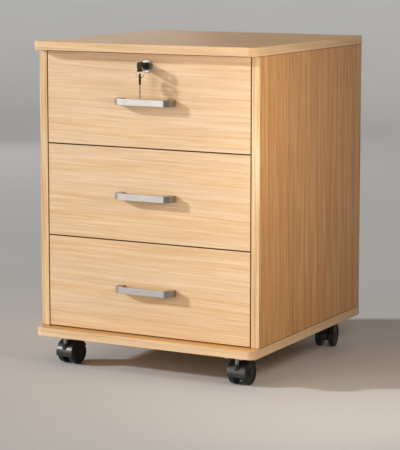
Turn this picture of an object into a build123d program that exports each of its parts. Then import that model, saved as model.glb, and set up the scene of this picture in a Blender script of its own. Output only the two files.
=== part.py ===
from build123d import *
import math
import os

# Mobile pedestal cabinet: three drawers of wood-grain board on four swivel casters,
# with a cylinder lock in the top drawer, its key, and a spare key on a ring.
# Millimetres, +X right, front towards -Y, +Z up, floor at z = 0.
# The origin is on the floor under the middle of the whole object's box.

# ---- Cabinet ----
cabinet_width = 450.0          # top and bottom panels
cabinet_depth = 460.0          # top and bottom panels
opening_height = 510.0         # between the top and bottom panels
board = 16.0                   # thickness of the panels and drawer fronts
side_inset = 1.0               # outer side faces sit inside the top panel's edge
front_overhang = 23.0          # top and bottom panels run past the drawer fronts
corner_radius = 14.0           # front corners of the top and bottom panels
rear_corner_radius = 2.0
arris = 0.8                    # small round on every board edge that shows
back_thickness = 5.0
back_setback = 12.0            # back edge of the sides to the back panel
groove_depth = 6.0
groove_clearance = 0.15

# ---- Drawers ----
drawer_count = 3
front_gap = 2.0                # round and between the drawer fronts
box_side = 12.0                # thickness of the drawer box's sides and rear
box_height = 120.0
box_length = 380.0
box_lift = 18.0                # lower edge of the front to the lower edge of the box
bottom_thickness = 5.0
bottom_lift = 10.0             # lower edge of the box to the drawer bottom
bottom_engagement = 5.0        # how far the drawer bottom enters its grooves

# ---- Runners ----
runner_thickness = 12.7        # between the cabinet side and the drawer box
runner_height = 45.0
runner_length = 350.0
runner_setback = 4.0           # back of the drawer front to the front of the runner
runner_wall = 1.2
runner_gap = 0.3               # between one member's flange and the next
outer_flange = 9.0
middle_web_start = 3.4
middle_flange_end = 10.5
inner_flange_start = 5.2
runner_lift = 50.0             # lower edge of the box to the middle of the runner
runner_screw_inset = 35.0      # ends of the runner to its screws

# ---- Handles ----
handle_half_length = 58.5      # at the feet
handle_flare = 2.5             # a leg leans out by this towards the drawer front
handle_leg_width = 12.5
handle_height = 12.0
handle_reach = 23.0            # drawer front to the face of the bar
handle_chamfer_width = 9.0
handle_chamfer_depth = 6.0
handle_bar = 5.5               # thickness of the bar
handle_outer_round = 2.5
handle_inner_round = 2.0
handle_arris = 0.6
handle_drop = 1.5              # below the middle of the drawer front

# ---- Lock and keys ----
lock_offset = 2.0              # to the right of the middle
lock_below_top = 23.6          # lock axis below the top panel's lower face
lock_barrel_radius = 9.5
lock_barrel_length = 24.0      # behind the drawer front's face
lock_flange_radius = 11.3
lock_flange_thickness = 2.0
lock_collar_radius = 8.6
lock_collar_height = 4.6       # above the drawer front's face
lock_flange_round = 1.2
lock_collar_round = 0.6
plug_radius = 6.5
plug_recess = 0.4              # plug face below the collar's rim
plug_stub_radius = 3.0
plug_head_radius = 4.6
plug_head_thickness = 1.0
nut_across_flats = 24.0
nut_thickness = 3.0
cam_thickness = 2.0
cam_hub_radius = 6.0
cam_width = 10.0
cam_length = 20.0
cam_round = 2.5
strike_leg = 13.0              # how far the strike hangs below the top panel
strike_width = 32.0
strike_foot = 22.0
strike_thickness = 1.5
strike_bend = 1.0
strike_gap = 2.5               # strike to the cam
strike_screw_spacing = 20.0

key_reach = 34.5               # drawer front's face to the end of the key's bow
key_bow_length = 21.0
key_bow_width = 17.0
key_bow_thickness = 3.6
key_bow_round = 4.5
key_bow_arris = 0.8
key_shoulder_length = 8.0
key_shoulder_width = 14.5
key_blade_length = 18.0
key_blade_width = 6.6
key_blade_thickness = 2.0
key_hole_radius = 3.0
key_hole_inset = 8.5           # end of the bow to its hole
key_overlap = 2.0              # metal blank inside the bow's cover
key_shoulder_round = 1.0
key_tip = 2.2                  # chamfer at the blade's end
key_bits = 4
key_bit_start = 4.5            # shoulder to the first bit
key_bit_pitch = 3.1
key_bit_depths = (0.7, 1.2)    # taken in turn
keyway_clearance = 0.15
ring_radius = 8.7              # middle of the wire
ring_wire_radius = 0.75
ring_slack = 1.5               # wire's middle to the middle of each key's hole
spare_yaw = 27.0
spare_bow_length = 19.0
spare_shoulder_length = 3.0
spare_blade_length = 22.0

# ---- Casters ----
caster_height = 56.0
caster_side_inset = 47.0       # panel's side edges to the kingpins
caster_front_inset = 30.0      # its front edge to the front kingpins
caster_rear_inset = 38.0
caster_trail = 18.0            # kingpin to the axle
caster_width = 37.0
plate_size = 40.0
plate_thickness = 2.5
plate_corner_radius = 4.0
plate_screw_spacing = 28.0
kingpin_radius = 4.0
kingpin_length = 21.0          # below the plate
kingpin_tip = 0.8              # chamfer
boss_radius = 6.0
boss_depth = 25.0              # plate to the boss's lower end
boss_gap = 14.0                # bare kingpin between the plate and the boss
wheel_radius = 21.0
wheel_width = 11.0
wheel_round = 2.5
wheel_dish_depth = 1.0
wheel_dish_inner = 7.5
wheel_dish_outer = 16.5
wheel_skin = 1.0               # closes the wheel's bore on the outside
axle_radius = 3.0
hood_clearance = 0.8
hood_wall = 2.0
hood_round = 1.2
hood_lip_angle = -12.0         # front lip, measured from level at the axle
hood_rear_angle = 150.0
hood_web = 13.0                # between the two wheels
hood_web_floor = 15.0          # web's lower edge above the floor
caster_yaws = {
    "front_left": -8.0,
    "front_right": -1.0,
    "rear_left": 194.0,
    "rear_right": 190.0,
}

# ---- Fasteners and fits ----
fit = 0.05                     # radial clearance of shafts, screws and discs
seat = 0.3                     # between a moving face and the face that carries it
screw_radius = 1.75
screw_head_radius = 3.4
screw_head_height = 1.8
handle_screw_radius = 2.0
handle_screw_head_radius = 4.0
handle_screw_head_height = 2.4
handle_screw_grip = 11.0       # into the handle's leg
runner_screw_depth = 9.0       # into the board
rear_screw_length = 30.0
caster_screw_depth = 9.0
cam_disc_radius = 7.5
cam_disc_thickness = 12.0
cam_bolt_radius = 3.0
cam_edge_distance = 24.0       # disc centre to the board's edge
cam_bolt_depth = 11.0          # into the board that it holds
cam_inset = 60.0               # ends of the cabinet side to its fittings
box_disc_radius = 6.0
box_disc_thickness = 9.5
box_bolt_radius = 2.5
box_bolt_depth = 10.0
box_cam_inset = 28.0           # box edges to the fittings at the drawer front
box_rear_screw_inset = 25.0

# ---- Worked out from the sizes above ----
side_depth = cabinet_depth - front_overhang
whole_depth = side_depth + key_reach
back_y = whole_depth / 2
front_y = back_y - side_depth              # face of the drawer fronts
panel_front_y = front_y - front_overhang
front_back_y = front_y + board             # back of the drawer fronts
half_width = cabinet_width / 2
outer_half = half_width - side_inset
inner_half = outer_half - board
opening_low = caster_height + board
opening_high = opening_low + opening_height
front_height = (opening_height - front_gap * (drawer_count + 1)) / drawer_count
front_half = inner_half - front_gap
box_outer_half = inner_half - runner_thickness
box_inner_half = box_outer_half - box_side
box_end_y = front_back_y + box_length
lock_z = opening_high - lock_below_top
back_panel_y = back_y - back_setback - back_thickness
cam_y = front_y + lock_barrel_length + seat
hole_y = front_y - key_reach + key_hole_inset
ring_top_z = lock_z - ring_slack           # wire's middle, where the ring hangs in the key
ring_low_z = ring_top_z - 2 * ring_radius  # wire's middle, where the spare key hangs
plate_z = caster_height - plate_thickness


def block(low, high):
    """Box between two opposite corners."""
    size = [b - a for a, b in zip(low, high)]
    middle = [(a + b) / 2 for a, b in zip(low, high)]
    return Pos(*middle) * Box(*size)


def rod(start, direction, radius, length):
    """Cylinder that starts at a point and runs along a direction."""
    place = Plane(origin=start, z_dir=direction).location
    return place * Cylinder(radius, length, align=(Align.CENTER, Align.CENTER, Align.MIN))


def along(start, direction, distance):
    """Point at a distance from another one."""
    return tuple(a + b * distance for a, b in zip(start, direction))


class Screw:
    """Pan-head screw. Its head stands on a point and its shank runs along a direction."""

    def __init__(self, point, direction, length, radius=screw_radius, head_radius=screw_head_radius,
                 head_height=screw_head_height):
        self.point = point
        self.direction = direction
        self.length = length
        self.radius = radius
        self.head_radius = head_radius
        self.head_height = head_height

    def solid(self, clearance=0.0):
        back = tuple(-d for d in self.direction)
        head = rod(self.point, back, self.head_radius + clearance, self.head_height)
        shank = rod(self.point, self.direction, self.radius + clearance, self.length + clearance)
        return head + shank

    def hole(self):
        return self.solid(fit)


def solids_of(screws):
    return [item.solid() for item in screws]


def drilled(board_solid, screws):
    """The board with a hole for each screw."""
    for item in screws:
        board_solid -= item.hole()
    return board_solid


def cam_joint(face_point, inward, to_edge, board_thickness, disc_radius, disc_thickness,
              bolt_radius, bolt_depth):
    """Eccentric disc and bolt that pull one board's edge against another board.
    Returns the disc, the bolt, and the tool that cuts both boards."""
    centre = along(face_point, inward, board_thickness / 2)
    reach = cam_edge_distance + bolt_depth
    disc = rod(face_point, inward, disc_radius, disc_thickness)
    disc -= rod(centre, to_edge, bolt_radius + fit, disc_radius + 1)
    bolt = rod(along(centre, to_edge, 1.0), to_edge, bolt_radius, reach - 1.0)
    tool = rod(face_point, inward, disc_radius + fit, disc_thickness + fit)
    tool += rod(centre, to_edge, bolt_radius + fit, reach + fit)
    return disc, bolt, tool


def drawer_low(number):
    """Lower edge of a drawer front; drawer 1 is the top one."""
    below = drawer_count - number
    return opening_low + front_gap + below * (front_height + front_gap)


def runner_mid(number):
    return drawer_low(number) + box_lift + runner_lift


# ---- Cabinet boards ----

def rounded_panel(low_z):
    """Top or bottom panel with rounded front corners and a small round on its edges."""
    panel = block((-half_width, panel_front_y, low_z), (half_width, back_y, low_z + board))
    uprights = panel.edges().filter_by(Axis.Z).sort_by(Axis.Y)
    panel = fillet(uprights[:2], corner_radius)
    rear = panel.edges().filter_by(Axis.Z).sort_by(Axis.Y)[-2:]
    panel = fillet(rear, rear_corner_radius)
    panel = fillet(panel.faces().sort_by(Axis.Z)[-1].edges(), arris)
    return fillet(panel.faces().sort_by(Axis.Z)[0].edges(), arris)


def back_groove():
    """Space that the back panel and its clearance take out of the boards round it."""
    reach = groove_depth + groove_clearance
    return block(
        (-inner_half - reach, back_panel_y - groove_clearance, opening_low - reach),
        (inner_half + reach, back_panel_y + back_thickness + groove_clearance, opening_high + reach),
    )


def cabinet_side(side):
    ends = sorted((side * inner_half, side * outer_half))
    panel = block((ends[0], front_y, opening_low), (ends[1], back_y, opening_high))
    panel = fillet(panel.edges().filter_by(Axis.Z), arris)
    return panel - back_groove()


def back_panel():
    return block(
        (-inner_half - groove_depth, back_panel_y, opening_low - groove_depth),
        (inner_half + groove_depth, back_panel_y + back_thickness, opening_high + groove_depth),
    )


def cabinet_cam_joints():
    """The eight fittings between the sides and the top and bottom panels."""
    joints = []
    for side in (-1, 1):
        for end, edge_z in ((-1, opening_low), (1, opening_high)):
            for y in (front_y + cam_inset, back_y - cam_inset):
                face_point = (side * inner_half, y, edge_z - end * cam_edge_distance)
                joints.append(cam_joint(face_point, (side, 0, 0), (0, 0, end), board, cam_disc_radius,
                                        cam_disc_thickness, cam_bolt_radius, cam_bolt_depth))
    return joints


# ---- Runners ----

def channel(side, mid_z, start_y, web, flange, half_height):
    """Channel along Y. web and flange are spans measured from the cabinet side's inner face."""
    def span(start, end):
        return sorted((side * (inner_half - start), side * (inner_half - end)))
    end_y = start_y + runner_length
    xs = span(*web)
    member = block((xs[0], start_y, mid_z - half_height), (xs[1], end_y, mid_z + half_height))
    xs = span(*flange)
    for low in (mid_z - half_height, mid_z + half_height - runner_wall):
        member += block((xs[0], start_y, low), (xs[1], end_y, low + runner_wall))
    return member


def runner_set(side, number):
    """Outer, middle and inner members of one runner, each nested in the one before."""
    mid_z = runner_mid(number)
    start_y = front_back_y + runner_setback
    step = runner_wall + runner_gap
    half = runner_height / 2
    outer = channel(side, mid_z, start_y, (0, runner_wall), (0, outer_flange), half)
    middle = channel(side, mid_z, start_y, (middle_web_start, middle_web_start + runner_wall),
                     (middle_web_start, middle_flange_end), half - step)
    inner = channel(side, mid_z, start_y, (runner_thickness - runner_wall, runner_thickness),
                    (inner_flange_start, runner_thickness), half - 2 * step)
    return outer, middle, inner


def runner_screws(side, number):
    """Screws that hold the outer member to the cabinet and the inner one to the drawer."""
    start_y = front_back_y + runner_setback
    outer_screws = []
    inner_screws = []
    for y in (start_y + runner_screw_inset, start_y + runner_length - runner_screw_inset):
        point = (side * (inner_half - runner_wall), y, runner_mid(number))
        outer_screws.append(Screw(point, (side, 0, 0), runner_wall + runner_screw_depth))
        point = (side * (box_outer_half + runner_wall), y, runner_mid(number))
        inner_screws.append(Screw(point, (-side, 0, 0), runner_wall + runner_screw_depth))
    return outer_screws, inner_screws


# ---- Drawers ----

def drawer_front(number):
    low = drawer_low(number)
    front = block((-front_half, front_y, low), (front_half, front_back_y, low + front_height))
    front = fillet(front.faces().sort_by(Axis.Y)[0].edges(), arris)
    return front - bottom_space(number)


def bottom_span(number, clearance):
    """Corners of the drawer bottom, grown by a clearance."""
    low = drawer_low(number) + box_lift + bottom_lift
    half = box_inner_half + bottom_engagement + clearance
    return (
        (-half, front_back_y - bottom_engagement - clearance, low - clearance),
        (half, box_end_y, low + bottom_thickness + clearance),
    )


def drawer_bottom(number):
    return block(*bottom_span(number, 0))


def bottom_space(number):
    return block(*bottom_span(number, groove_clearance))


def drawer_side(side, number):
    low = drawer_low(number) + box_lift
    xs = sorted((side * box_inner_half, side * box_outer_half))
    panel = block((xs[0], front_back_y, low), (xs[1], box_end_y, low + box_height))
    top_edges = panel.faces().sort_by(Axis.Z)[-1].edges().filter_by(Axis.Y)
    return fillet(top_edges, arris) - bottom_space(number)


def drawer_rear(number):
    low = drawer_low(number) + box_lift + bottom_lift + bottom_thickness
    high = drawer_low(number) + box_lift + box_height
    panel = block((-box_inner_half, box_end_y - box_side, low), (box_inner_half, box_end_y, high))
    top_edges = panel.faces().sort_by(Axis.Z)[-1].edges().filter_by(Axis.X)
    return fillet(top_edges, arris)


def drawer_cam_joints(number):
    """The four fittings between the drawer box and its front."""
    low = drawer_low(number) + box_lift
    joints = []
    for side in (-1, 1):
        for z in (low + box_cam_inset, low + box_height - box_cam_inset):
            face_point = (side * box_inner_half, front_back_y + cam_edge_distance, z)
            joints.append(cam_joint(face_point, (side, 0, 0), (0, -1, 0), box_side, box_disc_radius,
                                    box_disc_thickness, box_bolt_radius, box_bolt_depth))
    return joints


def rear_screws(number):
    """Screws through the drawer sides into the ends of the rear, heads sunk flush."""
    low = drawer_low(number) + box_lift
    screws = []
    for side in (-1, 1):
        for z in (low + box_rear_screw_inset, low + box_height - box_rear_screw_inset):
            point = (side * (box_outer_half - screw_head_height), box_end_y - box_side / 2, z)
            screws.append(Screw(point, (-side, 0, 0), rear_screw_length))
    return screws


def handle_z(number):
    return drawer_low(number) + front_height / 2 - handle_drop


def handle_hole_x():
    return handle_half_length - handle_leg_width / 2


def uprights_at(body, corners):
    """Upright edges of the pull at the given corners of its outline, on both sides."""
    found = []
    for edge in body.edges().filter_by(Axis.Z):
        middle = edge.center()
        if any(math.dist((abs(middle.X), -middle.Y), corner) < fit for corner in corners):
            found.append(edge)
    return found


def handle(number):
    """Bridge pull: a flat bar, chamfered at both ends, on two flared legs."""
    shoulder = handle_reach - handle_chamfer_depth
    outer = [
        (handle_half_length, 0),
        (handle_half_length - handle_flare, shoulder),
        (handle_half_length - handle_flare - handle_chamfer_width, handle_reach),
    ]
    inner_foot = handle_half_length - handle_leg_width
    inner = [
        (inner_foot - handle_flare, handle_reach - handle_bar),
        (inner_foot, 0),
    ]
    loop = outer + [(-x, y) for x, y in reversed(outer)]
    loop += [(-x, y) for x, y in reversed(inner)] + inner
    outline = Polyline(*[(x, -y) for x, y in loop], close=True)
    body = extrude(make_face(outline), handle_height / 2, both=True)
    body = fillet(uprights_at(body, outer[1:]), handle_outer_round)
    body = fillet(uprights_at(body, inner[:1]), handle_inner_round)
    body = fillet(body.faces().sort_by(Axis.Z)[-1].edges(), handle_arris)
    body = fillet(body.faces().sort_by(Axis.Z)[0].edges(), handle_arris)
    return Pos(0, front_y, handle_z(number)) * body


def handle_screws(number):
    screws = []
    for x in (-handle_hole_x(), handle_hole_x()):
        point = (x, front_back_y, handle_z(number))
        screws.append(Screw(point, (0, -1, 0), board + handle_screw_grip, handle_screw_radius,
                            handle_screw_head_radius, handle_screw_head_height))
    return screws


# ---- Lock and keys ----

def lock_housing():
    face = (lock_offset, front_y, lock_z)
    body = rod(face, (0, 1, 0), lock_barrel_radius, lock_barrel_length)
    flange = rod(face, (0, -1, 0), lock_flange_radius, lock_flange_thickness)
    flange = fillet(flange.faces().sort_by(Axis.Y)[0].edges(), lock_flange_round)
    collar = rod(face, (0, -1, 0), lock_collar_radius, lock_collar_height)
    collar = fillet(collar.faces().sort_by(Axis.Y)[0].edges(), lock_collar_round)
    bore_start = (lock_offset, front_y - lock_collar_height, lock_z)
    bore = rod(bore_start, (0, 1, 0), plug_radius + fit, lock_collar_height + lock_barrel_length)
    return body + flange + collar - bore


def lock_nut():
    hexagon = RegularPolygon(nut_across_flats / 2, 6, major_radius=False)
    body = Plane(origin=(lock_offset, front_back_y, lock_z), z_dir=(0, 1, 0)).location
    body = body * extrude(hexagon, nut_thickness)
    return body - rod((lock_offset, front_back_y, lock_z), (0, 1, 0), lock_barrel_radius + fit,
                      nut_thickness)


def keyway():
    """Slot in the plug that the key's blade enters."""
    across = key_blade_thickness / 2 + keyway_clearance
    up = key_blade_width / 2 + keyway_clearance
    start = front_y - lock_collar_height
    end = blade_end_y() + keyway_clearance
    return block((lock_offset - across, start, lock_z - up), (lock_offset + across, end, lock_z + up))


def blade_end_y():
    return front_y - key_reach + key_bow_length + key_shoulder_length + key_blade_length


def lock_plug():
    face_y = front_y - lock_collar_height + plug_recess
    end_y = front_y + lock_barrel_length
    body = rod((lock_offset, face_y, lock_z), (0, 1, 0), plug_radius, end_y - face_y)
    stub_length = cam_thickness + 2 * seat
    body += rod((lock_offset, end_y, lock_z), (0, 1, 0), plug_stub_radius, stub_length)
    body += rod((lock_offset, end_y + stub_length, lock_z), (0, 1, 0), plug_head_radius,
                plug_head_thickness)
    return body - keyway()


def lock_cam():
    """Tongue that points left when the lock is open and up behind the strike when it is locked."""
    centre = (lock_offset, cam_y, lock_z)
    body = rod(centre, (0, 1, 0), cam_hub_radius, cam_thickness)
    arm = block((lock_offset - cam_length, cam_y, lock_z - cam_width / 2),
                (lock_offset, cam_y + cam_thickness, lock_z + cam_width / 2))
    arm = fillet(arm.edges().filter_by(Axis.Y).sort_by(Axis.X)[:2], cam_round)
    body += arm
    return body - rod(centre, (0, 1, 0), plug_stub_radius + fit, cam_thickness)


def strike_screw_points():
    foot_y = cam_y - strike_gap + strike_foot / 2
    under = opening_high - strike_thickness
    return [(lock_offset + dx, foot_y, under) for dx in (-strike_screw_spacing / 2,
                                                         strike_screw_spacing / 2)]


def strike_bracket():
    """Angle under the top panel that the cam closes behind."""
    leg_back = cam_y - strike_gap
    xs = (lock_offset - strike_width / 2, lock_offset + strike_width / 2)
    foot_low = opening_high - strike_thickness
    body = block((xs[0], leg_back - strike_thickness, opening_high - strike_leg),
                 (xs[1], leg_back, opening_high))
    body += block((xs[0], leg_back - strike_thickness, foot_low),
                  (xs[1], leg_back + strike_foot, opening_high))
    inside = body.edges().filter_by(Axis.X).sort_by(
        lambda e: abs(e.center().Y - leg_back) + abs(e.center().Z - foot_low))[0]
    return fillet(inside, strike_bend)


def strike_screws():
    length = strike_thickness + runner_screw_depth
    return [Screw(point, (0, 0, 1), length) for point in strike_screw_points()]


def key_blank(bow_length, shoulder_length, blade_length):
    """Flat key in the YZ plane. The hole is at the origin and the blade points along +Y."""
    bow_start = -key_hole_inset
    half = key_bow_thickness / 2
    bow = block((-half, bow_start, -key_bow_width / 2), (half, bow_start + bow_length, key_bow_width / 2))
    bow = fillet(bow.edges().filter_by(Axis.X), key_bow_round)
    bow = fillet(bow.faces().sort_by(Axis.X)[-1].edges(), key_bow_arris)
    bow = fillet(bow.faces().sort_by(Axis.X)[0].edges(), key_bow_arris)
    half = key_blade_thickness / 2
    shoulder_end = bow_start + bow_length + shoulder_length
    tongue = block((-half, bow_start + bow_length - key_overlap, -key_shoulder_width / 2),
                   (half, shoulder_end, key_shoulder_width / 2))
    far_edges = tongue.edges().filter_by(Axis.X).sort_by(Axis.Y)[-2:]
    tongue = fillet(far_edges, key_shoulder_round)
    blade_end = shoulder_end + blade_length
    blade = block((-half, shoulder_end - key_overlap, -key_blade_width / 2),
                  (half, blade_end, key_blade_width / 2))
    blade = chamfer(blade.edges().filter_by(Axis.X).sort_by(Axis.Y)[-2:], key_tip)
    for index in range(key_bits):
        side_length = key_bit_depths[index % len(key_bit_depths)] * math.sqrt(2)
        middle = shoulder_end + key_bit_start + key_bit_pitch * index
        notch = Box(2 * key_blade_thickness, side_length, side_length)
        blade -= Pos(0, middle, key_blade_width / 2) * Rot(X=45) * notch
    hole = rod((-key_bow_thickness, 0, 0), (1, 0, 0), key_hole_radius, 2 * key_bow_thickness)
    return bow + tongue + blade - hole


def key():
    return Pos(lock_offset, hole_y, lock_z) * key_blank(key_bow_length, key_shoulder_length,
                                                        key_blade_length)


def key_ring():
    """Wire ring that hangs from the hole in the key's bow."""
    place = Pos(lock_offset, hole_y, ring_top_z - ring_radius) * Rot(X=90)
    return place * Torus(ring_radius, ring_wire_radius)


def spare_key():
    """Second key, hanging from the bottom of the ring with its blade down."""
    place = Pos(lock_offset, hole_y, ring_low_z - ring_slack) * Rot(Z=spare_yaw) * Rot(X=-90)
    return place * key_blank(spare_bow_length, spare_shoulder_length, spare_blade_length)


# ---- Casters, made with the kingpin on the Z axis and the wheels towards +Y ----

def kingpin_place(corner):
    """Where a corner's kingpin stands, in X and Y."""
    x = half_width - caster_side_inset
    y = panel_front_y + caster_front_inset
    if corner.endswith("left"):
        x = -x
    if corner.startswith("rear"):
        y = back_y - caster_rear_inset
    return x, y


def plate_screws(corner):
    x, y = kingpin_place(corner)
    half = plate_screw_spacing / 2
    length = plate_thickness + caster_screw_depth
    corners = [(dx, dy) for dx in (-half, half) for dy in (-half, half)]
    return [Screw((x + dx, y + dy, plate_z), (0, 0, 1), length) for dx, dy in corners]


def mounting_plate():
    """Plate with the kingpin that the hood turns on."""
    half = plate_size / 2
    plate = block((-half, -half, plate_z), (half, half, caster_height))
    plate = fillet(plate.edges().filter_by(Axis.Z), plate_corner_radius)
    pin = rod((0, 0, plate_z), (0, 0, -1), kingpin_radius, kingpin_length)
    pin = chamfer(pin.faces().sort_by(Axis.Z)[0].edges(), kingpin_tip)
    return plate + pin


def hood():
    """Cover over both wheels, with a web between them that holds the axle and the kingpin."""
    inner_radius = wheel_radius + hood_clearance
    outer_radius = inner_radius + hood_wall
    half = caster_width / 2
    centre = (0, caster_trail, wheel_radius)
    ring = rod((-half, caster_trail, wheel_radius), (1, 0, 0), outer_radius, caster_width)
    ring = fillet(ring.edges().filter_by(GeomType.CIRCLE), hood_round)
    ring -= rod((-half, caster_trail, wheel_radius), (1, 0, 0), inner_radius, caster_width)
    far = 2 * outer_radius
    span = hood_rear_angle - hood_lip_angle
    steps = 4
    sweep = [math.radians(hood_rear_angle - span * i / steps) for i in range(steps + 1)]
    fan = [(0, 0)] + [(-far * math.cos(a), far * math.sin(a)) for a in sweep]
    wedge = Plane(origin=centre, x_dir=(0, 1, 0), z_dir=(1, 0, 0)).location
    wedge = wedge * extrude(make_face(Polyline(*fan, close=True)), half, both=True)
    shell = ring & wedge
    half_web = hood_web / 2
    web = rod((-half_web, caster_trail, wheel_radius), (1, 0, 0), outer_radius - hood_wall / 2, hood_web)
    web -= block((-half, -far, -far), (half, caster_trail + far, hood_web_floor))
    boss = rod((0, 0, plate_z - boss_gap), (0, 0, -1), boss_radius, boss_depth - boss_gap)
    body = shell + web + boss
    body -= rod((0, 0, plate_z), (0, 0, -1), kingpin_radius + fit, kingpin_length + seat)
    return body - rod((-half, caster_trail, wheel_radius), (1, 0, 0), axle_radius + fit / 2, caster_width)


def axle():
    half = caster_width / 2 - wheel_skin - seat
    return rod((-half, caster_trail, wheel_radius), (1, 0, 0), axle_radius, 2 * half)


def wheel(side):
    """One of the twin wheels; its outer face is dished and closed over the axle's end."""
    inner_x = side * (caster_width / 2 - wheel_width)
    start = (inner_x, caster_trail, wheel_radius)
    outward = (side, 0, 0)
    body = rod(start, outward, wheel_radius, wheel_width)
    body = fillet(body.edges().filter_by(GeomType.CIRCLE), wheel_round)
    face = along(start, outward, wheel_width - wheel_dish_depth)
    dish = rod(face, outward, wheel_dish_outer, wheel_dish_depth)
    dish -= rod(face, outward, wheel_dish_inner, wheel_dish_depth)
    body -= dish
    return body - rod(start, outward, axle_radius + fit, wheel_width - wheel_skin)


# ---- Assembly: one entry per node, each a list of solids ----

def join_boards(boards, joints):
    """Cuts every board for a list of cam joints and returns the joints' discs and bolts."""
    pieces = []
    for disc, bolt, tool in joints:
        pieces += [disc, bolt]
        for name in boards:
            boards[name] -= tool
    return pieces


def drawer_nodes(number, cabinet):
    """The nodes of one drawer, and its runners' outer members and their screws.
    Drills the cabinet's sides for them."""
    name = f"drawer_{number}"
    box = {"front": drawer_front(number), "left_side": drawer_side(-1, number),
           "right_side": drawer_side(1, number)}
    fasteners = join_boards(box, drawer_cam_joints(number))
    pull_screws = handle_screws(number)
    corner_screws = rear_screws(number)
    box["front"] = drilled(box["front"], pull_screws)
    box["handle"] = drilled(handle(number), pull_screws)
    box["rear"] = drilled(drawer_rear(number), corner_screws)
    outers = []
    middles = []
    inners = []
    outer_screws = []
    for side, word in ((-1, "left"), (1, "right")):
        outer, middle, inner = runner_set(side, number)
        to_cabinet, to_box = runner_screws(side, number)
        outers.append(drilled(outer, to_cabinet))
        middles.append(middle)
        inners.append(drilled(inner, to_box))
        cabinet[f"{word}_side_panel"] = drilled(cabinet[f"{word}_side_panel"], to_cabinet)
        box[f"{word}_side"] = drilled(box[f"{word}_side"], to_box + corner_screws)
        outer_screws += to_cabinet
        fasteners += solids_of(to_box)
    if number == 1:
        box["front"] -= rod((lock_offset, front_y, lock_z), (0, 1, 0), lock_barrel_radius + fit, board)
    nodes = {f"{name}_{piece}": [solid] for piece, solid in box.items()}
    nodes[f"{name}_bottom"] = [drawer_bottom(number)]
    nodes[f"{name}_fasteners"] = fasteners + solids_of(pull_screws + corner_screws)
    nodes[f"{name}_runner_middle"] = middles
    nodes[f"{name}_runner_inner"] = inners
    return nodes, outers, outer_screws


def caster_nodes(corner):
    """The turning pieces of one caster."""
    x, y = kingpin_place(corner)
    place = Pos(x, y, 0) * Rot(Z=caster_yaws[corner])
    pieces = {"hood": hood(), "axle": axle(), "wheel_left": wheel(-1), "wheel_right": wheel(1)}
    return {f"caster_{corner}_{piece}": [place * solid] for piece, solid in pieces.items()}


def build_nodes():
    cabinet = {
        "top_panel": rounded_panel(opening_high) - back_groove(),
        "bottom_panel": rounded_panel(caster_height) - back_groove(),
        "left_side_panel": cabinet_side(-1),
        "right_side_panel": cabinet_side(1),
    }
    nodes = {"back_panel": [back_panel()]}
    nodes["cam_fittings"] = join_boards(cabinet, cabinet_cam_joints())

    cabinet_screws = strike_screws()
    cabinet["top_panel"] = drilled(cabinet["top_panel"], cabinet_screws)
    nodes["strike_bracket"] = [drilled(strike_bracket(), cabinet_screws)]

    nodes["runner_outers"] = []
    for number in range(1, drawer_count + 1):
        pieces, outers, outer_screws = drawer_nodes(number, cabinet)
        nodes.update(pieces)
        nodes["runner_outers"] += outers
        cabinet_screws += outer_screws

    nodes["caster_plates"] = []
    for corner in caster_yaws:
        x, y = kingpin_place(corner)
        screws = plate_screws(corner)
        nodes["caster_plates"].append(drilled(Pos(x, y, 0) * mounting_plate(), screws))
        cabinet["bottom_panel"] = drilled(cabinet["bottom_panel"], screws)
        nodes.update(caster_nodes(corner))
        cabinet_screws += screws

    nodes.update({name: [solid] for name, solid in cabinet.items()})
    nodes["cabinet_screws"] = solids_of(cabinet_screws)
    for piece in (lock_housing, lock_nut, lock_plug, lock_cam, key, key_ring, spare_key):
        nodes[piece.__name__] = [piece()]
    return nodes


def write_nodes(nodes):
    os.makedirs("parts", exist_ok=True)
    for name, solids in nodes.items():
        shape = solids[0] if len(solids) == 1 else Compound(children=solids)
        export_step(shape, f"parts/{name}.step")


write_nodes(build_nodes())
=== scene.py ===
"""Looks of the three-drawer pedestal cabinet: materials, camera and studio light round the CAD model."""

import math

import bpy
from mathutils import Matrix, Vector


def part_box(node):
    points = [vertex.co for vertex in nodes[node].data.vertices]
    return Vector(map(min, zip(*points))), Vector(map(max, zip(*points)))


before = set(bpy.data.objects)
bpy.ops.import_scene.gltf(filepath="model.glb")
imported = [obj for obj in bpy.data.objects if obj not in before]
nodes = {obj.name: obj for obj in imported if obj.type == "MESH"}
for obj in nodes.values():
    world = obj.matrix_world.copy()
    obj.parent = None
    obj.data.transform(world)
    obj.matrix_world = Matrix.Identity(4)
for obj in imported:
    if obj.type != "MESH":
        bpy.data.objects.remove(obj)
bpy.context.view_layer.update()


# ---------------------------------------------------------------- node helpers


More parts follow.
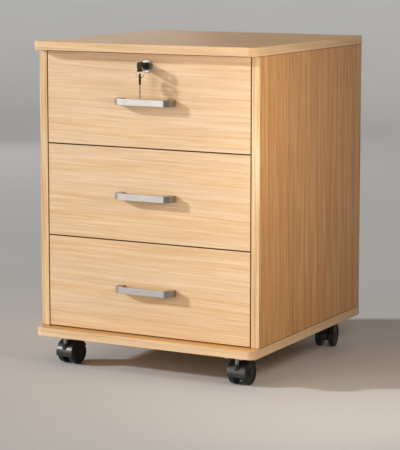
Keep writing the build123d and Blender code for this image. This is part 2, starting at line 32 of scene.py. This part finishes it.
class Shader:
    """A material under construction: short calls that add nodes and link them."""

    def __init__(self, name):
        self.material = bpy.data.materials.new(name)
        self.material.use_nodes = True
        self.tree = self.material.node_tree
        self.tree.nodes.clear()
        place = self.add("TexCoord")
        self.position = place.outputs["Object"]
        self.normal = place.outputs["Normal"]

    def add(self, kind, inputs=None, **settings):
        made = self.tree.nodes.new("ShaderNode" + kind)
        for name, value in settings.items():
            setattr(made, name, value)
        for name, value in (inputs or {}).items():
            self.put(made.inputs[name], value)
        return made

    def put(self, socket, value):
        if isinstance(value, bpy.types.NodeSocket):
            self.tree.links.new(value, socket)
        else:
            socket.default_value = value

    def math(self, operation, *values, clamp=False):
        made = self.add("Math", operation=operation, use_clamp=clamp)
        for socket, value in zip(made.inputs, values):
            self.put(socket, value)
        return made.outputs[0]

    def axes(self, vector):
        parts = self.add("SeparateXYZ", {"Vector": vector})
        return parts.outputs[0], parts.outputs[1], parts.outputs[2]

    def vector(self, x, y, z):
        return self.add("CombineXYZ", {"X": x, "Y": y, "Z": z}).outputs[0]

    def scaled(self, vector, x, y, z):
        made = self.add("VectorMath", operation="MULTIPLY")
        self.put(made.inputs[0], vector)
        made.inputs[1].default_value = (x, y, z)
        return made.outputs[0]

    def noise(self, vector, detail=2.0, roughness=0.5, scale=1.0):
        made = self.add(
            "TexNoise",
            {"Vector": vector, "Scale": scale, "Detail": detail, "Roughness": roughness},
        )
        return made.outputs[0]

    def span(self, value, low, high, to_low=0.0, to_high=1.0, smooth=False):
        made = self.add(
            "MapRange",
            {"Value": value, "From Min": low, "From Max": high, "To Min": to_low, "To Max": to_high},
            interpolation_type="SMOOTHSTEP" if smooth else "LINEAR",
        )
        return made.outputs[0]

    def mix(self, factor, a, b, blend="MIX"):
        made = self.add("Mix", data_type="RGBA", blend_type=blend)
        for index, value in ((0, factor), (6, a), (7, b)):
            self.put(made.inputs[index], value)
        return made.outputs[2]

    def choose(self, factor, a, b):
        made = self.add("Mix", data_type="VECTOR")
        for index, value in ((0, factor), (4, a), (5, b)):
            self.put(made.inputs[index], value)
        return made.outputs[1]

    def bump(self, height, distance, strength=1.0):
        made = self.add("Bump", {"Height": height, "Distance": distance, "Strength": strength})
        return made.outputs[0]

    def finish(self, **inputs):
        """Ends in one principled surface. The names are its sockets, with _ for a space."""
        surface = self.add("BsdfPrincipled")
        for name, value in inputs.items():
            self.put(surface.inputs[name.replace("_", " ")], value)
        end = self.add("OutputMaterial")
        self.tree.links.new(surface.outputs[0], end.inputs["Surface"])
        return self.material


def dress(material, names):
    """Gives CAD nodes their material."""
    for name in names:
        mesh = nodes[name].data
        mesh.materials.clear()
        mesh.materials.append(material)


# ---------------------------------------------------------------- wood-grain board


def lengthwise(shader, run):
    """((along the grain, across it, third), how much this is a broad face) for a board."""
    x, y, z = shader.axes(shader.position)
    facing = [shader.math("ABSOLUTE", part) for part in shader.axes(shader.normal)]
    if run == "flat":  # a lying panel: grain along X on its faces, and round its edges
        face = shader.math("GREATER_THAN", facing[2], 0.6)
        edge = shader.vector(shader.math("ADD", x, y), z, 0.0)
        return shader.choose(face, edge, shader.vector(x, y, 0.3)), face
    if run == "upright":  # a standing panel: grain along Z
        return shader.vector(z, shader.math("ADD", x, y), 0.7), shader.math("GREATER_THAN", facing[0], 0.6)
    # a drawer board: grain along X
    return shader.vector(x, shader.math("ADD", y, z), 0.5), shader.math("GREATER_THAN", facing[1], 0.6)


def wood(name, run, tones, seed, edge=(1.0, 1.0, 1.0), contrast=1.0, roughness=0.42, joints=None):
    """Printed wood-grain laminate: drifts of colour, long pale and brown streaks, fine lines, short pores.
    edge multiplies the edge bands: painted shade on the drawer fronts' edges, and a lift back to the unshaded
    wood on the top and sides.
    The joint heights are where the board meets others; a thin line of painted shade darkens it there."""
    warm, cool, pale, brown = [tone + (1.0,) for tone in tones]
    s = Shader(name)
    place, face = lengthwise(s, run)
    grain = s.add("VectorMath", operation="ADD")
    s.put(grain.inputs[0], place)
    grain.inputs[1].default_value = (seed, seed * 0.37, seed * 0.11)
    along, across, third = s.axes(grain.outputs[0])
    # the lines wander a little, and lean
    wander = s.noise(s.vector(s.math("MULTIPLY", along, 2.4), s.math("MULTIPLY", across, 8.0), third), 2.0)
    shift = s.math("MULTIPLY", s.math("SUBTRACT", wander, 0.5), 0.011)
    lean = s.math("MULTIPLY", along, 0.015)
    line = s.vector(along, s.math("ADD", across, s.math("ADD", shift, lean)), third)
    drift = s.noise(s.scaled(line, 1.3, 24.0, 1.0), 3.0, 0.6)
    streak = s.noise(s.scaled(line, 4.2, 135.0, 1.0), 3.0, 0.6)
    thread = s.noise(s.scaled(line, 7.0, 330.0, 1.7), 2.0, 0.55)
    fine = s.noise(s.scaled(line, 16.0, 900.0, 2.3), 2.0, 0.5)
    pores = s.noise(s.scaled(line, 60.0, 2200.0, 1.0), 1.0, 0.5)
    colour = s.mix(s.span(drift, 0.34, 0.66, smooth=True), warm, cool)
    colour = s.mix(s.span(streak, 0.48, 0.66, 0.0, 0.62 * contrast), colour, pale)
    colour = s.mix(s.span(streak, 0.47, 0.30, 0.0, 0.30 * contrast), colour, brown)
    colour = s.mix(s.span(thread, 0.52, 0.70, 0.0, 0.70 * contrast), colour, pale)
    colour = s.mix(s.span(thread, 0.46, 0.28, 0.0, 0.30 * contrast), colour, brown)
    colour = s.mix(s.span(fine, 0.48, 0.26, 0.0, 0.30 * contrast), colour, brown)
    colour = s.mix(s.span(pores, 0.34, 0.24, 0.0, 0.40 * contrast), colour, brown)
    # edge multiplies the edge bands: painted shade on the fronts' edges, and on the top and sides a lift back
    # to the unshaded wood
    band = s.math("SUBTRACT", 1.0, face)
    colour = s.mix(band, colour, edge + (1.0,), "MULTIPLY")
    if joints:
        low, high = joints
        height = s.axes(s.position)[2]
        away = s.math("ABSOLUTE", s.math("SUBTRACT", height, (low + high) / 2))
        half = (high - low) / 2
        # painted shade: a thin dark line where the side panels meet the top and bottom panels, standing in
        # for the contact shadow
        colour = s.mix(s.span(away, half - 0.0022, half, 0.0, 0.85), colour, (0.07, 0.035, 0.015, 1.0))
    gloss = s.span(thread, 0.3, 0.7, roughness + 0.06, roughness - 0.05)
    relief = s.math("ADD", s.math("MULTIPLY", fine, 0.6), s.math("MULTIPLY", pores, 0.4))
    return s.finish(
        Base_Color=colour,
        Roughness=gloss,
        Normal=s.bump(relief, 0.00010, 0.5),
        Specular_IOR_Level=0.5,
    )


# warm ground, cooler ground, pale streak, brown streak
FRONT = ((0.71, 0.47, 0.24), (0.71, 0.50, 0.31), (0.83, 0.64, 0.44), (0.51, 0.28, 0.11))
# the top's tones are the front wood made darker and deeper: painted shade
TOP_SHADED = ((0.66, 0.345, 0.11), (0.64, 0.345, 0.12), (0.76, 0.44, 0.18), (0.42, 0.18, 0.045))
# the sides' tones are the front wood made darker and more orange: painted shade, also used for the back panel
SIDE_SHADED = ((0.60, 0.285, 0.09), (0.53, 0.265, 0.09), (0.71, 0.44, 0.195), (0.32, 0.12, 0.03))
INSIDE = ((0.70, 0.49, 0.27), (0.68, 0.48, 0.28), (0.78, 0.60, 0.38), (0.50, 0.31, 0.14))

# the side panels' end heights, where their joint lines of painted shade fall
cabinet_low, cabinet_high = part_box("left_side_panel")
shaded_seams = (cabinet_low.z, cabinet_high.z)
# painted shade on the top's broad faces; the edge multiplier lifts its edge bands back to the front's colour
lying = wood("lying board", "flat", TOP_SHADED, 3.1, edge=(1.08, 1.38, 2.25), contrast=0.8)
dress(lying, ["top_panel", "bottom_panel"])
# painted shade on the sides' broad faces; the edge multiplier lifts their edge bands back to the front's
# colour
standing = wood("standing board", "upright", SIDE_SHADED, 7.9, edge=(1.22, 1.64, 2.45), joints=shaded_seams)
dress(standing, ["left_side_panel", "right_side_panel"])
for n in (1, 2, 3):
    # painted shade: the fronts' edges are darkened so the gaps between the drawers look dark
    front = wood(f"front board {n}", "front", FRONT, 11.3 * n, edge=(0.50, 0.42, 0.36), contrast=0.85)
    dress(front, [f"drawer_{n}_front"])
dress(wood("back board", "upright", SIDE_SHADED, 19.7, contrast=0.7, roughness=0.55), ["back_panel"])
box_boards = [f"drawer_{n}_{part}" for n in (1, 2, 3) for part in ("left_side", "right_side", "rear")]
dress(wood("box board", "front", INSIDE, 23.9, contrast=0.6, roughness=0.5), box_boards)
bottoms = [f"drawer_{n}_bottom" for n in (1, 2, 3)]
base = wood("drawer bottom", "front", INSIDE, 29.9, contrast=0.6, roughness=0.5)
dress(base, bottoms)


# ---------------------------------------------------------------- metal and plastic


def metal(name, colour, roughness, brush, relief=0.00002):
    """Metal with fine brush marks along the axis whose scale is small, and faint blotches in its gloss."""
    s = Shader(name)
    marks = s.noise(s.scaled(s.position, *brush), 3.0, 0.6)
    blotch = s.noise(s.scaled(s.position, 60.0, 60.0, 60.0), 3.0, 0.5)
    tone = s.math("ADD", s.math("MULTIPLY", marks, 0.6), s.math("MULTIPLY", blotch, 0.4))
    dark = tuple(c * 0.86 for c in colour[:3]) + (1.0,)
    return s.finish(
        Base_Color=s.mix(s.span(tone, 0.3, 0.7), dark, colour),
        Metallic=1.0,
        Roughness=s.span(tone, 0.3, 0.7, roughness + 0.08, roughness - 0.06),
        Normal=s.bump(marks, relief, 0.6),
    )


def plastic(name, colour, roughness, grain=900.0, relief=0.00006):
    """Moulded plastic with a fine leather-like skin and slight scuffing."""
    s = Shader(name)
    skin = s.noise(s.position, 2.0, 0.5, grain)
    scuff = s.noise(s.scaled(s.position, 70.0, 70.0, 160.0), 4.0, 0.6)
    worn = tuple(min(1.0, c * 1.6 + 0.004) for c in colour[:3]) + (1.0,)
    return s.finish(
        Base_Color=s.mix(s.span(scuff, 0.5, 0.75, 0.0, 0.6), colour, worn),
        Roughness=s.span(scuff, 0.3, 0.75, roughness - 0.05, roughness + 0.14),
        Normal=s.bump(skin, relief, 0.4),
    )


def key_look(name, axis, edge, beyond):
    """Black moulded bow, and nickel silver past the edge, which lies along one axis of the part."""
    s = Shader(name)
    blank = s.math(beyond, s.axes(s.position)[axis], edge)
    skin = s.noise(s.position, 2.0, 0.5, 900.0)
    wear = s.noise(s.scaled(s.position, 150.0, 150.0, 150.0), 3.0, 0.6)
    cover = s.mix(s.span(wear, 0.5, 0.75, 0.0, 0.7), (0.018, 0.018, 0.019, 1.0), (0.04, 0.04, 0.042, 1.0))
    nickel = s.mix(s.span(wear, 0.3, 0.7), (0.58, 0.57, 0.54, 1.0), (0.74, 0.73, 0.70, 1.0))
    gloss = s.span(wear, 0.3, 0.7, 0.34, 0.24)
    return s.finish(
        Base_Color=s.mix(blank, cover, nickel),
        Metallic=blank,
        Roughness=s.math("ADD", gloss, s.math("MULTIPLY", blank, -0.04)),
        Normal=s.bump(skin, 0.00004, 0.4),
    )


corners = ("front_left", "front_right", "rear_left", "rear_right")
pulls = [f"drawer_{n}_handle" for n in (1, 2, 3)]
dress(metal("pull metal", (0.50, 0.49, 0.48, 1.0), 0.42, (30.0, 1400.0, 1400.0)), pulls)
steel = ["cam_fittings", "strike_bracket", "cabinet_screws", "runner_outers"]
for n in (1, 2, 3):
    steel += [f"drawer_{n}_fasteners", f"drawer_{n}_runner_inner", f"drawer_{n}_runner_middle"]
dress(metal("zinc steel", (0.66, 0.67, 0.69, 1.0), 0.38, (500.0, 40.0, 500.0)), steel)
# painted shade: the caster plates and kingpins are zinc steel made darker, to look as dim as in the shadow
# under the cabinet
plate = metal("plate steel", (0.36, 0.36, 0.37, 1.0), 0.46, (300.0, 300.0, 300.0))
dress(plate, ["caster_plates"])
chrome = metal("lock chrome", (0.50, 0.50, 0.51, 1.0), 0.26, (300.0, 300.0, 300.0))
dress(chrome, ["lock_housing", "lock_nut"])
dress(plastic("plug black", (0.03, 0.03, 0.03, 1.0), 0.35), ["lock_plug"])
dress(metal("cam steel", (0.66, 0.67, 0.69, 1.0), 0.38, (400.0, 400.0, 40.0)), ["lock_cam"])
# the moulded bows are 21 and 19 mm long; past them both keys are bare metal
key_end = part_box("key")[0].y + 0.021
spare_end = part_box("spare_key")[1].z - 0.019
dress(key_look("key in the lock", 1, key_end, "GREATER_THAN"), ["key"])
dress(key_look("spare key", 2, spare_end, "LESS_THAN"), ["spare_key"])
dress(metal("ring steel", (0.80, 0.80, 0.82, 1.0), 0.2, (300.0, 300.0, 300.0)), ["key_ring"])
hoods = [f"caster_{c}_hood" for c in corners]
dress(plastic("hood black", (0.02, 0.02, 0.021, 1.0), 0.30), hoods)
axles = [f"caster_{c}_axle" for c in corners]
dress(metal("axle steel", (0.65, 0.65, 0.66, 1.0), 0.25, (300.0, 300.0, 300.0)), axles)
wheels = [f"caster_{c}_wheel_{side}" for c in corners for side in ("left", "right")]
dress(plastic("wheel black", (0.009, 0.009, 0.009, 1.0), 0.42), wheels)


# ---------------------------------------------------------------- floor, light, camera


def floor_sweep():
    """A pale floor that curves up far behind the cabinet into a backdrop."""
    profile = [(-6.0, 0.0), (4.0, 0.0)]
    radius = 3.0
    for step in range(1, 25):
        angle = math.pi / 2 * step / 24
        profile.append((4.0 + radius * math.sin(angle), radius * (1 - math.cos(angle))))
    profile.append((7.0, 9.0))
    points = [(x, y, z) for y, z in profile for x in (-9.0, 9.0)]
    faces = [(2 * i, 2 * i + 1, 2 * i + 3, 2 * i + 2) for i in range(len(profile) - 1)]
    mesh = bpy.data.meshes.new("floor")
    mesh.from_pydata(points, [], faces)
    for face in mesh.polygons:
        face.use_smooth = True
    made = bpy.data.objects.new("floor", mesh)
    bpy.context.scene.collection.objects.link(made)
    s = Shader("pale floor")
    mottle = s.noise(s.position, 4.0, 0.55, 2.5)
    mesh.materials.append(
        s.finish(
            Base_Color=s.mix(mottle, (0.58, 0.576, 0.572, 1.0), (0.62, 0.616, 0.612, 1.0)),
            Roughness=s.span(mottle, 0.3, 0.7, 0.95, 0.88),
            Specular_IOR_Level=0.1,
        )
    )


def lamp(name, kind, energy, place, aim, colour=(1.0, 1.0, 1.0), **settings):
    light = bpy.data.lights.new(name, kind)
    light.energy = energy
    light.color = colour
    for key, value in settings.items():
        setattr(light, key, value)
    made = bpy.data.objects.new(name, light)
    made.location = place
    made.rotation_euler = (Vector(aim) - Vector(place)).to_track_quat("-Z", "Y").to_euler()
    bpy.context.scene.collection.objects.link(made)
    return made


def studio():
    """A pale room, brighter to the front left, a low key from the left, two fills, and a window behind
    whose light the top panel reflects."""
    world = bpy.data.worlds.new("studio")
    world.use_nodes = True
    tree = world.node_tree
    place = tree.nodes.new("ShaderNodeTexCoord")
    toward = tree.nodes.new("ShaderNodeVectorMath")
    toward.operation = "DOT_PRODUCT"
    toward.inputs[1].default_value = (-0.55, -0.80, 0.20)
    light = tree.nodes.new("ShaderNodeMapRange")
    for socket, value in (("From Min", -0.5), ("From Max", 1.0), ("To Min", 0.03), ("To Max", 0.34)):
        light.inputs[socket].default_value = value
    tree.links.new(place.outputs["Generated"], toward.inputs[0])
    tree.links.new(toward.outputs["Value"], light.inputs["Value"])
    tree.links.new(light.outputs[0], tree.nodes["Background"].inputs["Strength"])
    tree.nodes["Background"].inputs["Color"].default_value = (1.0, 0.86, 0.74, 1.0)
    bpy.context.scene.world = world
    cool, warm = (0.93, 0.98, 1.0), (1.0, 0.86, 0.70)
    lamp("key", "SUN", 2.7, (-1.75, -1.0, 0.78), (0.0, 0.0, 0.0), cool, angle=math.radians(4.0))
    front = (-1.25, -2.6, 0.7)
    lamp("front fill", "AREA", 24.0, front, (0.0, -0.2, 0.3), (1.0, 0.90, 0.82), shape="DISK", size=1.9)
    back = lamp("back window", "AREA", 7.0, (-2.35, 2.75, 1.3), (-0.2, 0.0, 0.6), (1.0, 0.95, 0.90), size=1.6)
    back.visible_camera = False
    beside = (0.66, -0.43, 0.5)
    side = lamp("side fill", "AREA", 2.7, beside, (0.225, -0.16, 0.42), warm, shape="DISK", size=0.3)
    side.visible_glossy = False


def camera():
    data = bpy.data.cameras.new("camera")
    data.lens = 1856.7 / 450.0 * 36.0
    data.sensor_width = 36.0
    data.shift_y = -0.1
    made = bpy.data.objects.new("camera", data)
    made.location = (1.6284, -3.0414, 0.7835)
    made.rotation_euler = (math.radians(90.0 - 7.447), 0.0, math.radians(28.17))
    bpy.context.scene.collection.objects.link(made)
    bpy.context.scene.camera = made


floor_sweep()
studio()
camera()
bpy.context.scene.view_settings.view_transform = "Standard"
